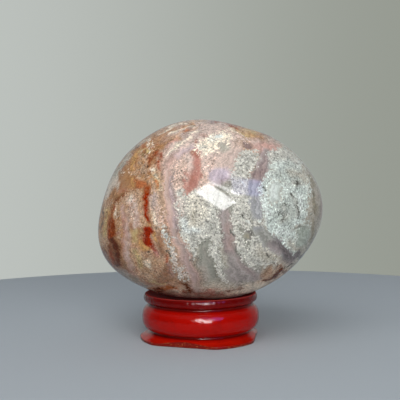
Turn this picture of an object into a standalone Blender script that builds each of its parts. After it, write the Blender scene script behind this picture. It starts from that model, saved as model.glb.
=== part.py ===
"""A polished egg of ocean jasper, resting in the dish of a small turned and lacquered stand.

Metres, +Z up. The origin is on the stand's turning axis, at the middle of its flat underside. The stone's
long way lies along X, and its front faces -Y.
"""

import math

import bmesh
import bpy
from mathutils import Vector

MM = 0.001

# The stone: its outline seen from the front, as reaches from its middle at even steps from +X up towards +Z
STONE_MIDDLE_MM = (2.4, 0.0, 35.6)
STONE_REACH_MM = (32.4, 31.2, 29.1, 26.9, 25.5, 25.8, 26.5, 27.1, 28.1, 29.1,
                  30.5, 32.2, 30.6, 27.7, 25.6, 24.9, 25.6, 26.7, 28.5, 30.7)
STONE_DEPTH_RATIO = 0.87
STONE_GRID = 16

# The stand's dish: radius and height of its edge, and height of its floor
DISH_RADIUS_MM = 15.0
DISH_RIM_MM = 12.1
DISH_FLOOR_MM = 9.2
DISH_STEPS = 6

# The stand's turned shapes from the top down: radius and height of the middle, half sizes, and angles turned
BEAD = {"middle": (14.9, 11.4), "half": (1.22, 1.2), "start": 66, "end": -62, "steps": 8, "fullness": 2.3}
GROOVE = {"middle": (15.2, 9.75), "half": (0.35, 0.35), "start": 120, "end": 240, "steps": 3, "fullness": 2.0}
BELLY = {"middle": (14.0, 6.0), "half": (2.58, 3.35), "start": 64, "end": -76, "steps": 10, "fullness": 2.3}
NECK = {"middle": (14.45, 2.35), "half": (0.4, 0.4), "start": 130, "end": 230, "steps": 3, "fullness": 2.0}
TURNING_STEPS = 60

# The thin foot plate: a hollow slope from the neck down to a low edge
PLATE_RADIUS_MM = 17.2
PLATE_EDGE_MM = 0.75
PLATE_CHAMFER_MM = 0.12
COVE_RADIUS_MM = 14.4
COVE_TOP_MM = 1.85
COVE_POWER = 2.2
COVE_STEPS = 4

# The foot plate's four sawn flats: direction in degrees from +X towards the front, and distance from the axis
PLATE_FLATS = ((10.0, 15.8), (107.5, 14.95), (197.0, 16.4), (287.0, 15.6))
SAW_DEPTH_MM = 6.0
SAW_LENGTH_MM = 44.0
SAW_BOTTOM_MM = -1.0
SAW_TOP_MM = 2.2

STONE_COLOR = (0.55, 0.44, 0.38)
STONE_ROUGHNESS = 0.12
LACQUER_COLOR = (0.42, 0.012, 0.006)
LACQUER_ROUGHNESS = 0.18
COAT_WEIGHT = 0.5
SHARP_ANGLE_DEGREES = 40
WELD_DISTANCE = 1e-6


def outline_waves(reaches):
    """Turn evenly spaced reaches into a mean and smooth waves, one complex number for each wave."""
    count = len(reaches)
    waves = []
    for order in range(count // 2):
        total = 0j
        for step, reach in enumerate(reaches):
            angle = 2 * math.pi * order * step / count
            total += reach * complex(math.cos(angle), -math.sin(angle))
        waves.append(total / count if order == 0 else 2 * total / count)
    return waves


def stone_point(direction, waves):
    """Place one point of the stone's skin.

    Each wave fades towards the front and the back, so the bumps of the outline melt into a smooth face.
    """
    across = complex(direction.x, direction.z)
    reach = sum((wave * across ** order).real for order, wave in enumerate(waves))
    offset = Vector((direction.x, direction.y * STONE_DEPTH_RATIO, direction.z)) * reach
    return (Vector(STONE_MIDDLE_MM) + offset) * MM


def sphere_direction(corner):
    """Send a point on a cube's surface to an even point on the unit sphere."""
    return Vector([math.tan(value * math.pi / 4) for value in corner]).normalized()


def bulge(middle, half, start, end, steps, fullness):
    """Turn from one angle to another round a swelling; a fullness over 2 is fuller than an ellipse."""
    points = []
    for step in range(steps + 1):
        angle = math.radians(start + (end - start) * step / steps)
        across = math.copysign(abs(math.cos(angle)) ** (2 / fullness), math.cos(angle))
        up = math.copysign(abs(math.sin(angle)) ** (2 / fullness), math.sin(angle))
        points.append((middle[0] + half[0] * across, middle[1] + half[1] * up))
    return points


def dish_profile():
    """Rise from the dish's floor towards its edge."""
    points = []
    depth = DISH_RIM_MM - DISH_FLOOR_MM
    for step in range(DISH_STEPS):
        outward = step / DISH_STEPS
        points.append((DISH_RADIUS_MM * outward, DISH_FLOOR_MM + depth * outward ** 2))
    return points


def plate_profile():
    """Slope from the neck down to the foot plate's edge, and back along its underside to the axis."""
    points = []
    rise = COVE_TOP_MM - PLATE_EDGE_MM
    for step in range(1, COVE_STEPS + 1):
        inward = 1 - step / COVE_STEPS
        radius = PLATE_RADIUS_MM + (COVE_RADIUS_MM - PLATE_RADIUS_MM) * inward
        points.append((radius, PLATE_EDGE_MM + rise * inward ** COVE_POWER))
    points.append((PLATE_RADIUS_MM, PLATE_CHAMFER_MM))
    points.append((PLATE_RADIUS_MM - PLATE_CHAMFER_MM, 0.0))
    points.append((0.0, 0.0))
    return points


def stand_profile():
    """List the radii and heights that the turning tool follows, from the dish's middle to the underside's."""
    turned = bulge(**BEAD) + bulge(**GROOVE) + bulge(**BELLY) + bulge(**NECK)
    return dish_profile() + turned + plate_profile()


def new_object(name, mesh_maker, material=None):
    """Make a mesh object and hand its empty bmesh to the function that fills it."""
    mesh = bpy.data.meshes.new(name)
    work = bmesh.new()
    mesh_maker(work)
    bmesh.ops.recalc_face_normals(work, faces=work.faces)
    work.to_mesh(mesh)
    work.free()
    thing = bpy.data.objects.new(name, mesh)
    bpy.context.scene.collection.objects.link(thing)
    if material:
        mesh.materials.append(material)
    return thing


def principled(name, color, roughness):
    """Make a plain material with a coat of polish."""
    material = bpy.data.materials.new(name)
    material.use_nodes = True
    shader = material.node_tree.nodes["Principled BSDF"]
    shader.inputs["Base Color"].default_value = (*color, 1.0)
    shader.inputs["Roughness"].default_value = roughness
    shader.inputs["Metallic"].default_value = 0.0
    shader.inputs["Coat Weight"].default_value = COAT_WEIGHT
    return material


def fill_stone(work):
    """Blow up a gridded cube into the stone's egg."""
    bmesh.ops.create_cube(work, size=2.0)
    bmesh.ops.subdivide_edges(work, edges=work.edges, cuts=STONE_GRID - 1, use_grid_fill=True)
    waves = outline_waves(STONE_REACH_MM)
    for vert in work.verts:
        vert.co = stone_point(sphere_direction(vert.co), waves)


def fill_stand(work):
    """Spin the stand's profile once round the turning axis."""
    verts = [work.verts.new((radius * MM, 0.0, height * MM)) for radius, height in stand_profile()]
    edges = [work.edges.new(pair) for pair in zip(verts, verts[1:])]
    bmesh.ops.spin(work, geom=verts + edges, cent=(0, 0, 0), axis=(0, 0, 1),
                   angle=2 * math.pi, steps=TURNING_STEPS, use_merge=True)
    bmesh.ops.remove_doubles(work, verts=work.verts, dist=WELD_DISTANCE)


def make_saw_box(index, azimuth, distance):
    """Make the block that saws one flat, clear of the belly above the foot plate."""
    low = Vector((distance, -SAW_LENGTH_MM / 2, SAW_BOTTOM_MM)) * MM
    high = Vector((distance + SAW_DEPTH_MM, SAW_LENGTH_MM / 2, SAW_TOP_MM)) * MM

    def fill(work):
        bmesh.ops.create_cube(work, size=1.0)
        for vert in work.verts:
            vert.co = Vector([(low[i] + high[i]) / 2 + vert.co[i] * (high[i] - low[i]) for i in range(3)])

    box = new_object(f"saw_box_{index}", fill)
    box.rotation_euler.z = -math.radians(azimuth)
    box.hide_render = True
    box.display_type = "WIRE"
    return box


def saw_flats(stand):
    """Saw the four flats off the round foot plate."""
    for index, (azimuth, distance) in enumerate(PLATE_FLATS, start=1):
        cut = stand.modifiers.new(f"flat_{index}", "BOOLEAN")
        cut.operation = "DIFFERENCE"
        cut.solver = "EXACT"
        cut.object = make_saw_box(index, azimuth, distance)


def main():
    for thing in list(bpy.data.objects):
        bpy.data.objects.remove(thing, do_unlink=True)

    stone = new_object("stone", fill_stone, principled("polished_stone", STONE_COLOR, STONE_ROUGHNESS))
    stone.data.shade_smooth()

    stand = new_object("stand", fill_stand, principled("red_lacquer", LACQUER_COLOR, LACQUER_ROUGHNESS))
    stand.data.shade_smooth()
    stand.data.set_sharp_from_angle(angle=math.radians(SHARP_ANGLE_DEGREES))
    saw_flats(stand)


main()
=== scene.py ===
# %% [markdown]
# # Ocean jasper on its turned stand
# This lesson dresses a measured model of a polished stone and its little red stand. The measured model, which
# we call the frame, already has the right sizes. Here we give both pieces a fine surface and a finish, and
# then we set up a plain pale floor, soft studio light and a camera.

# %% Load the frame
import math

import bmesh
import bpy
import numpy as np
from mathutils import Matrix, Vector, noise


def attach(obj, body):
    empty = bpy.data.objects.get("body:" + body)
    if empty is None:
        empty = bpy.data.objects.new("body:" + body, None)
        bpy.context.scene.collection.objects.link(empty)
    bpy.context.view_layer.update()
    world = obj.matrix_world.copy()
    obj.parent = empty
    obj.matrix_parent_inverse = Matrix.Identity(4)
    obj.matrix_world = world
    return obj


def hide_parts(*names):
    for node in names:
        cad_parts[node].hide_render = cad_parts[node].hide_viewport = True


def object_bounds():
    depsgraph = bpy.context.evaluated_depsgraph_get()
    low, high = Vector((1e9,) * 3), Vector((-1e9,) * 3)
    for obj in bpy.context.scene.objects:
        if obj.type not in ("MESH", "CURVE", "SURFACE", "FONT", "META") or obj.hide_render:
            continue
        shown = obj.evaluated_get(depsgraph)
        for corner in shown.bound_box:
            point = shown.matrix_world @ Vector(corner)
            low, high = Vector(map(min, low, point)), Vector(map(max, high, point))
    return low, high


MM = 0.001

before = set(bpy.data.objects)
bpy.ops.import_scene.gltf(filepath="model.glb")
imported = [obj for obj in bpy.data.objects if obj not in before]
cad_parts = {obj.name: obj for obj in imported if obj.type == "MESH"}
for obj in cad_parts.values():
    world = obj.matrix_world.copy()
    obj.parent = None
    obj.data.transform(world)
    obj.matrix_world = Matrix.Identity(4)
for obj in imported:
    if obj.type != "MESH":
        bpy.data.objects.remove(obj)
frame_low, frame_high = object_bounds()
frame_size = [round(size / MM, 1) for size in frame_high - frame_low]
print("frame holds", sorted(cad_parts), "and is", frame_size, "mm")

# %% [markdown]
# ## The camera
# The stone's markings are placed by what the camera sees, so the camera comes first. It stands close to the
# stone and a little above half its height, and looks almost level. A long lens from further away would
# flatten the egg, and then its marks wouldn't lie where they belong.

# %% Camera
EYE_MM = (0.12, -165.0, 37.4)
LOOK_UP_DEGREES = 0.43
ROLL_DEGREES = 0.5
PICTURE_PIXELS = 400
PIXEL_MM = 0.2857  # what one pixel spans at the stand's turning axis
SENSOR_MM = 36.0
NEAREST_MM = 1.0
FURTHEST_MM = 20000.0


def new_object(name, data):
    """Put an object into the scene for a mesh, a camera or a light."""
    thing = bpy.data.objects.new(name, data)
    bpy.context.scene.collection.objects.link(thing)
    return thing


focus_pixels = -EYE_MM[1] / PIXEL_MM
camera_turn = (Matrix.Rotation(math.radians(90 + LOOK_UP_DEGREES), 4, "X")
               @ Matrix.Rotation(math.radians(-ROLL_DEGREES), 4, "Z"))

camera_data = bpy.data.cameras.new("camera")
camera_data.sensor_width = SENSOR_MM
camera_data.lens = SENSOR_MM * focus_pixels / PICTURE_PIXELS
camera_data.clip_start = NEAREST_MM * MM
camera_data.clip_end = FURTHEST_MM * MM
camera = new_object("camera", camera_data)
camera.matrix_world = Matrix.Translation(Vector(EYE_MM) * MM) @ camera_turn
bpy.context.scene.camera = camera
bpy.context.scene.view_settings.view_transform = "Standard"
print("lens", round(camera_data.lens, 2), "mm")


def picture_place(points_mm):
    """Find where points in space lie in the picture, in pixels from its top left corner."""
    turn = np.array(camera_turn.to_3x3())
    seen = (points_mm - np.array(EYE_MM)) @ turn
    across = PICTURE_PIXELS / 2 + focus_pixels * seen[:, 0] / -seen[:, 2]
    down = PICTURE_PIXELS / 2 - focus_pixels * seen[:, 1] / -seen[:, 2]
    return np.stack([across, down], axis=1)


# %% [markdown]
# ## The stone's shape
# A tumbled stone has no flat faces and no true centre, so a scaled ball looks wrong. We describe the outline
# by how far it reaches in twenty even directions, turn those reaches into smooth waves, and let each wave
# fade towards the front and the back. The skin is a cube blown up into a ball, because its squares stay even
# all over, where a globe's squares would crowd together at the poles.

# %% Stone shape
STONE_MIDDLE_MM = (2.4, 0.0, 35.6)
STONE_REACH_MM = (32.4, 31.2, 29.1, 26.9, 25.5, 25.8, 26.5, 27.1, 28.1, 29.1,
                  30.5, 32.2, 30.6, 27.7, 25.6, 24.9, 25.6, 26.7, 28.5, 30.7)
STONE_DEPTH_RATIO = 0.87
STONE_GRID = 128


def outline_waves(reaches):
    """Turn evenly spaced reaches into a mean and smooth waves, one complex number for each wave."""
    angles = 2 * math.pi * np.arange(len(reaches)) / len(reaches)
    waves = []
    for order in range(len(reaches) // 2):
        wave = np.mean(np.array(reaches) * np.exp(-1j * order * angles))
        waves.append(wave if order == 0 else 2 * wave)
    return waves


def blow_up(cube_points):
    """Send points on a cube's surface to the stone's skin, in millimetres."""
    ways = np.tan(cube_points * math.pi / 4)
    ways /= np.linalg.norm(ways, axis=1, keepdims=True)
    across = ways[:, 0] + 1j * ways[:, 2]
    reach = sum((wave * across ** order).real for order, wave in enumerate(outline_waves(STONE_REACH_MM)))
    flatten = np.array([1.0, STONE_DEPTH_RATIO, 1.0])
    return np.array(STONE_MIDDLE_MM) + ways * flatten * reach[:, None]


def make_stone():
    """Make the stone's mesh as a finely gridded cube, blown up."""
    mesh = bpy.data.meshes.new("polished_egg")
    work = bmesh.new()
    bmesh.ops.create_cube(work, size=2.0)
    bmesh.ops.subdivide_edges(work, edges=work.edges, cuts=STONE_GRID - 1, use_grid_fill=True)
    bmesh.ops.recalc_face_normals(work, faces=work.faces)
    work.to_mesh(mesh)
    work.free()
    places = np.empty(len(mesh.vertices) * 3)
    mesh.vertices.foreach_get("co", places)
    skin_mm = blow_up(places.reshape(-1, 3))
    mesh.vertices.foreach_set("co", (skin_mm * MM).ravel())
    mesh.shade_smooth()
    mesh.update()
    return new_object("polished_egg", mesh), skin_mm


stone, skin_mm = make_stone()
count = len(skin_mm)
print("stone has", count, "points")

# %% [markdown]
# ## Where the markings lie
# Bands in such a stone are sheets that run right through it. So each point of the skin gets a place on one
# flat drawing: what the camera sees at the front, and further back the same drawing turned and bent more and
# more, so that the back has bands of its own. A little wobble keeps every painted edge from looking drawn.

# %% Drawing places
BACK_TURN_DEGREES = 75.0
BACK_START_MM = 1.0
BACK_FULL_MM = 20.0
BACK_BEND_MM = 5.0
BACK_BEND_SIZE_MM = 13.0
BEND_SEED = 3.0
WOBBLES_MM = ((0.5, 4.5), (0.3, 1.7))  # how far an edge strays, and over what distance
WOBBLE_SEED = 11.0
SECOND_PUSH_SHIFT = 7.0
FULL_PUSH = 2  # smooth noise strays about half a unit either way, and this makes it a whole one


def ease(low, high, values):
    """Rise smoothly from 0 at low to 1 at high; low may be the larger one."""
    share = np.clip((values - low) / (high - low), 0, 1)
    return share * share * (3 - 2 * share)


def stray(points_mm, size_mm, seed):
    """Read a smooth random push for each point, in two directions."""
    first = Vector((seed, 0.0, 0.0))
    second = Vector((0.0, seed, SECOND_PUSH_SHIFT))
    pushes = [(noise.noise(Vector(p) / size_mm + first), noise.noise(Vector(p) / size_mm + second))
              for p in points_mm]
    return np.array(pushes)


def drawing_places(points_mm):
    """Give each point of the skin its place on the flat drawing, in pixels of the picture."""
    back = ease(BACK_START_MM, BACK_FULL_MM, points_mm[:, 1])
    flat = picture_place(points_mm)
    middle = picture_place(np.array([STONE_MIDDLE_MM]))
    turn = np.exp(1j * np.radians(BACK_TURN_DEGREES) * back)
    arm = (flat - middle) @ np.array([1, 1j]) * turn
    flat = middle + np.stack([arm.real, arm.imag], axis=1)
    bend = back * BACK_BEND_MM * FULL_PUSH / PIXEL_MM
    flat += stray(points_mm, BACK_BEND_SIZE_MM, BEND_SEED) * bend[:, None]
    for amount, size in WOBBLES_MM:
        flat += stray(points_mm, size, WOBBLE_SEED) * amount * FULL_PUSH / PIXEL_MM
    return flat


drawing = drawing_places(skin_mm)
print("drawing runs from", drawing.min(axis=0).round(), "to", drawing.max(axis=0).round())

# %% [markdown]
# ## Brushes
# Every mark is laid over the picture in pixels, as a short list of points. A point with three numbers
# (across, down, half width) belongs to a stroke, a smooth line with a width. A point with two belongs to a
# patch, a smooth closed outline. For each point of the skin we find how far outside the mark it lies, in
# millimetres, with less than nothing inside. That one distance can paint a soft edge here, or be broken up
# into grains by the material later.

# %% Brushes
CURVE_STEPS = 4
FAR_MM = 50.0
LEAST_SQUARE = 1e-9  # keeps a step without length from dividing by nothing


def smooth_line(points, closed):
    """Run a smooth line through the points."""
    points = np.array(points, float)
    if closed:
        padded = np.vstack([points[-1:], points, points[:2]])
    else:
        padded = np.vstack([points[:1], points, points[-1:]])
    line = []
    for before, start, end, after in zip(padded, padded[1:], padded[2:], padded[3:]):
        for step in range(CURVE_STEPS):
            t = step / CURVE_STEPS
            pull = (end - before) * t + (2 * before - 5 * start + 4 * end - after) * t ** 2
            line.append(start + (pull + (3 * start - before - 3 * end + after) * t ** 3) / 2)
    line.append(padded[-2])
    return np.array(line)


def gap_to_line(line):
    """Find each drawing place's distance to the line, less the line's half width where it is nearest."""
    best = np.full(count, FAR_MM / PIXEL_MM)
    widths = line[:, 2] if line.shape[1] > 2 else np.zeros(len(line))
    for start, end, low, high in zip(line, line[1:], widths, widths[1:]):
        along = end[:2] - start[:2]
        share = np.clip((drawing - start[:2]) @ along / max(along @ along, LEAST_SQUARE), 0, 1)
        gap = np.linalg.norm(drawing - start[:2] - share[:, None] * along, axis=1)
        best = np.minimum(best, gap - (low + (high - low) * share))
    return best * PIXEL_MM


def is_inside(line):
    """Tell which drawing places a closed line goes round, by how often it passes on their right."""
    inside = np.zeros(count, bool)
    for (x1, y1), (x2, y2) in zip(line, line[1:]):
        if y1 == y2:
            continue
        crossed = (drawing[:, 1] > min(y1, y2)) & (drawing[:, 1] <= max(y1, y2))
        side = drawing[:, 0] < x1 + (drawing[:, 1] - y1) * (x2 - x1) / (y2 - y1)
        inside ^= crossed & side
    return inside


def outside(mark):
    """Measure how far each point of the skin lies outside a stroke or a patch."""
    is_patch = len(mark[0]) == 2
    line = smooth_line(mark, is_patch)
    gap = gap_to_line(line)
    return np.where(is_inside(line), -gap, gap) if is_patch else gap


print("a brush makes", CURVE_STEPS, "short steps from each point to the next")

# %% [markdown]
# ## Colours and coats
# The stone has three coats. The ground is smooth chalcedony, the crystal coat is grainy quartz with its own
# tints, and the stain coat is iron that crept in later. Each coat is a canvas of colour, and the last two
# also have a field of distances, which says where they show. The colours have the names a lapidary would
# use, and each is the middle tone of its mineral, which the material later breaks up into lighter and darker
# grains.

# %% Coats
COLOURS = {
    "tan": (172, 130, 94), "fawn": (152, 118, 94), "beige": (184, 154, 130), "cream": (234, 222, 202),
    "shell": (202, 181, 170), "rose": (192, 161, 149), "coral": (198, 163, 152), "mauve": (156, 140, 137),
    "pearl": (160, 152, 148), "lilac": (198, 184, 190), "slate": (162, 162, 164), "dusk": (114, 106, 106),
    "plum": (136, 116, 115), "moss": (148, 147, 137), "jade": (162, 168, 158), "olive": (118, 106, 76),
    "straw": (190, 168, 120), "quartz": (190, 188, 179), "warm_quartz": (182, 152, 126),
    "blush_quartz": (204, 178, 163), "mint": (193, 201, 195), "snow": (224, 229, 225),
    # the muddy colour for the bottom is lighter than the mineral: painted bounce light from the floor
    "smoke": (160, 155, 145), "haze": (176, 170, 157), "mud": (194, 178, 160), "bark": (92, 38, 8),
    "ochre": (194, 148, 94), "orange": (170, 102, 64), "rust": (138, 60, 24), "red": (142, 34, 0),
    "salmon": (180, 128, 115), "char": (62, 60, 54), "amber": (172, 124, 78),
}


def linear(red, green, blue):
    """Turn a colour as seen on a screen, 0 to 255, into the light that Blender counts in."""
    seen = np.array([red, green, blue]) / 255
    return np.where(seen <= 0.04045, seen / 12.92, ((seen + 0.055) / 1.055) ** 2.4)


PALETTE = {name: linear(*seen) for name, seen in COLOURS.items()}
coats = {name: np.tile(PALETTE[colour], (count, 1))
         for name, colour in {"ground": "beige", "crystal": "quartz", "stain": "rust"}.items()}
DISTANCES = ("druse_mm", "stain_mm", "dark_mm", "sparkle_mm", "calm_mm")
fields = {name: np.full(count, FAR_MM) for name in DISTANCES}
fields["iron_dust"] = np.zeros(count)
print("palette of", len(PALETTE), "colours for", len(coats), "coats")

# %% [markdown]
# ## Acts of painting
# Each row of the lists below is one act: what to do, the colour, how soft the edge is in millimetres, how
# strong the colour is from 0 to 1, and then the marks. Later rows lie over earlier ones, as paint does, so
# their order matters.

# %% Painting
CRYSTAL_MARGIN_MM = 1.2  # how far a coat's colour runs on past its own edge, for the stray grains there
STAIN_MARGIN_MM = 0.25


def tint(coat, colour, soft_mm, strength, gaps):
    """Lay a colour on a coat wherever the gaps to the marks are less than nothing."""
    for gap in gaps:
        cover = (strength * ease(soft_mm, -soft_mm, gap))[:, None]
        coats[coat] += (PALETTE[colour] - coats[coat]) * cover


def spread(field, gaps):
    """Let a coat show inside the marks too."""
    for gap in gaps:
        np.minimum(fields[field], gap, out=fields[field])


def wash(colour, soft_mm, strength, gaps):
    """Tint the smooth ground."""
    tint("ground", colour, soft_mm, strength, gaps)


def dye(colour, soft_mm, strength, gaps):
    """Tint the crystals, where there are any."""
    tint("crystal", colour, soft_mm, strength, gaps)


def grow(colour, soft_mm, strength, gaps):
    """Grow a druse of one tint inside the marks."""
    tint("crystal", colour, soft_mm, strength, [gap - CRYSTAL_MARGIN_MM for gap in gaps])
    spread("druse_mm", gaps)


def band(colour, soft_mm, strength, gaps):
    """Lay a smooth band, which crowds out any crystals."""
    tint("ground", colour, soft_mm, strength, gaps)
    for gap in gaps:
        np.maximum(fields["druse_mm"], -gap, out=fields["druse_mm"])
    spread("calm_mm", gaps)


def soak(colour, soft_mm, strength, gaps):
    """Soak the stone with iron inside the marks."""
    tint("stain", colour, soft_mm, strength, [gap - STAIN_MARGIN_MM for gap in gaps])
    spread("stain_mm", gaps)


def paint(title, rows):
    """Work through rows of (act, colour, softness, strength, marks), in their order."""
    for act, colour, soft_mm, strength, *marks in rows:
        act(colour, soft_mm, strength, [outside(mark) for mark in marks])
    print(title, "took", len(rows), "acts of painting")


# %% [markdown]
# ## The broad ground
# Before any band we lay the broad tones, as a painter blocks in a picture: brown at the left end, pinkish in
# the middle, grey and clear at the right end, and muddy along the bottom. Along the bottom the washes are
# also lighter than the stone's own tone: painted bounce light from the floor. Their edges are very soft.
# Small clouds of iron dust hang in the stone near its outline, and the material will sprinkle those.

# %% Broad ground
BROAD_GROUND = (
    (wash, "tan", 3.0, 1, ((96, 150), (150, 118), (172, 135), (150, 200), (130, 300), (90, 290))),
    (wash, "shell", 3.0, 1, ((165, 118), (232, 118), (232, 200), (200, 230), (170, 200))),
    (wash, "moss", 2.5, 1, ((190, 200), (262, 180), (275, 250), (240, 300), (200, 300))),
    (wash, "haze", 3.0, 1, ((262, 140), (300, 140), (335, 200), (310, 262), (268, 262))),
    (wash, "fawn", 3.0, 1, ((118, 262), (150, 262), (176, 262), (180, 300), (130, 300))),
    (wash, "smoke", 1.6, 1, ((306, 160, 2), (315, 178, 6), (317, 200, 8), (316, 222, 7), (308, 244, 6))),
    # painted bounce light: these three washes along the bottom are lighter than the stone's own tone, for
    # light from the floor
    (wash, "mud", 2.0, 1, ((140, 290, 3), (165, 293, 5), (220, 296, 8), (262, 288, 5), (285, 272, 3))),
    (wash, "beige", 1.4, 1, ((150, 288, 2.4), (170, 291, 4), (184, 294, 4))),
    (wash, "cream", 2.2, 1, ((178, 296, 3), (195, 299, 4.4), (225, 298, 5), (250, 292, 4), (262, 286, 2))),
    (wash, "haze", 0.8, 1, ((105, 199, 2.6), (110, 188, 4.4), (115, 178, 4), (120, 168, 3), (128, 157, 2.4),
                            (138, 146, 1.8), (150, 137, 1.2))),
)
# Each row: amount of dust, softness in mm, and marks
IRON_DUST = (
    (1.0, 2.0, ((122, 172), (138, 144), (165, 142), (150, 188), (132, 188), (120, 196))),
    (0.5, 3.0, ((104, 200), (140, 196), (166, 240), (176, 290), (140, 290), (104, 250))),
    (1.0, 2.0, ((98, 214, 3), (99, 236, 4), (104, 254, 4), (114, 270, 3))),
    (0.6, 2.0, ((150, 137, 3), (172, 130, 3), (200, 122, 3)), ((232, 129, 3), (250, 133, 3), (266, 138, 3)),
     ((262, 280, 4), (286, 270, 3)), ((150, 284, 4), (180, 290, 4), (215, 293, 3))),
)

paint("broad ground", BROAD_GROUND)
for amount, soft_mm, *marks in IRON_DUST:
    for mark in marks:
        dust = amount * ease(soft_mm, -soft_mm, outside(mark))
        np.maximum(fields["iron_dust"], dust, out=fields["iron_dust"])

# %% [markdown]
# ## The left end
# This end is the warmest: granular beige quartz, a clear pinkish band, and brown patches where iron soaked
# in. Its very edge is thin enough to let light through, and looks grey. The crystals come first, because a
# smooth band crowds out those that it meets.

# %% Left end
LEFT_END = (
    (grow, "warm_quartz", 1.0, 1,
     ((120, 198), (132, 190), (144, 192), (145, 224), (138, 228), (132, 222), (122, 214)),
     ((131, 241), (142, 250), (155, 252), (163, 266), (158, 276), (146, 280), (134, 270)),
     ((104, 204), (110, 200), (109, 240), (103, 244)),
     ((117, 204, 2.6), (117.5, 216, 3), (118, 230, 2.8), (118, 238, 2)),
     ((134, 162), (147, 156), (150, 178), (138, 182), (132, 172)),
     ((150, 190), (159, 190), (160, 210), (157, 228), (151, 218)),
     ((151, 168), (158, 166), (163, 176), (163, 191), (152, 191))),
    (dye, "shell", 1.2, 1, ((133, 200, 4), (134, 214, 4), (135, 224, 3)), ((153, 194, 3), (155, 208, 3))),
    (dye, "mauve", 1.0, 0.6, ((153, 196, 2), (155, 205, 2))),
    (dye, "straw", 1.0, 1, ((107, 212, 2.4), (106, 232, 2.4)), ((154, 176, 2), (160, 186, 2)),
     ((136, 252, 2), (138, 264, 2))),
    (dye, "cream", 0.6, 1, ((154, 174, 1.4), (157, 180, 1)), ((160.5, 184, 1.6), (161, 189, 1.2)),
     ((116, 209, 1), (118, 216, 1.4)), ((132, 213, 1), (134, 218, 1.4)), ((144, 262, 1.4), (150, 265, 1.6)),
     ((133, 196, 1.6), (131, 199, 1)), ((154, 214, 1.6), (155, 222, 2))),
    (grow, "cream", 1.0, 1, ((148, 141, 1.2), (150, 146, 1.4), (149, 152, 0.8)),
     ((124, 172, 0.6), (126, 173, 0.6))),
    (dye, "cream", 0.4, 1, ((151, 170.6, 1), (154.6, 168.4, 1.4))),
    (band, "rose", 0.7, 1, ((124.5, 206, 1.8), (125.4, 220, 3.2), (126.4, 235, 3.8), (126.8, 250, 3.8),
                            (128, 262, 3.6), (132, 273, 3), (137, 281, 2.4))),
    (wash, "shell", 0.6, 0.6, ((128, 212, 0.9), (128.6, 232, 1.6), (128.6, 252, 1.4), (130, 264, 1))),
    (wash, "salmon", 0.6, 0.5, ((122.6, 222, 0.8), (122.6, 240, 1), (122.8, 256, 1))),
    (wash, "fawn", 1.4, 0.4, ((128, 268, 4), (133, 275, 4), (140, 284, 3))),
    (band, "tan", 0.8, 1, ((118, 178), (122, 170), (130, 166), (131, 186), (126, 191), (118, 188))),
    (wash, "fawn", 0.8, 0.6, ((121, 180, 2), (122, 186, 2))),
    (band, "shell", 0.8, 1, ((132, 205), (138, 205), (138.4, 222), (137, 229), (132.6, 228))),
    (band, "straw", 0.7, 1, ((131.6, 231), (138, 230), (138, 240), (132, 241))),
    (band, "fawn", 0.8, 1, ((156, 234), (163, 233), (164, 250), (160, 255), (157, 248))),
    (wash, "salmon", 0.8, 0.6, ((119, 190, 2), (125, 190.6, 1.6))),
    (wash, "bark", 0.7, 0.75, ((114, 203, 1.2), (117.6, 197.6, 1.8), (125, 194.6, 0.9), (131, 191.6, 0.6)),
     ((117, 200, 1.2), (117.6, 207, 0.8)), ((136, 145.4, 0.7), (138, 150, 0.7))),
    (wash, "shell", 0.8, 0.75, ((107, 196, 2), (111, 188, 3), (115, 180, 2.4))),
    (wash, "cream", 0.8, 0.5, ((107, 196, 2), (111, 188, 3), (115, 180, 2.4))),
    (wash, "bark", 0.8, 0.5, ((107, 243, 2), (112, 250, 2.4))),
    (wash, "bark", 1.6, 0.6, ((110, 246, 2), (113, 256, 3), (117, 266, 2.4))),
    (wash, "plum", 1.2, 0.8, ((102, 252, 2.4), (107, 260, 2.6), (114, 269, 2.4), (124, 276, 2))),
    (wash, "smoke", 1.0, 1, ((120, 272, 1), (132, 280, 1.6), (146, 287, 2))),
    (wash, "straw", 0.5, 1, ((140, 153, 1.6), (147, 152.6, 1.8)),
     ((150, 279, 0.5), (158, 282.6, 0.6), (166, 285, 0.5))),
    (wash, "olive", 0.5, 0.7, ((142, 155.6, 1), (147, 155, 1)), ((148, 270, 0.6), (150.4, 276, 0.8)),
     ((131, 277, 1), (137, 282, 1))),
)

paint("left end", LEFT_END)

# %% [markdown]
# ## The pink bands of the middle
# These bands are the calm part of the stone. They are pure chalcedony, laid down slowly, so their edges are
# soft and run side by side from the top to the bottom.

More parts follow.
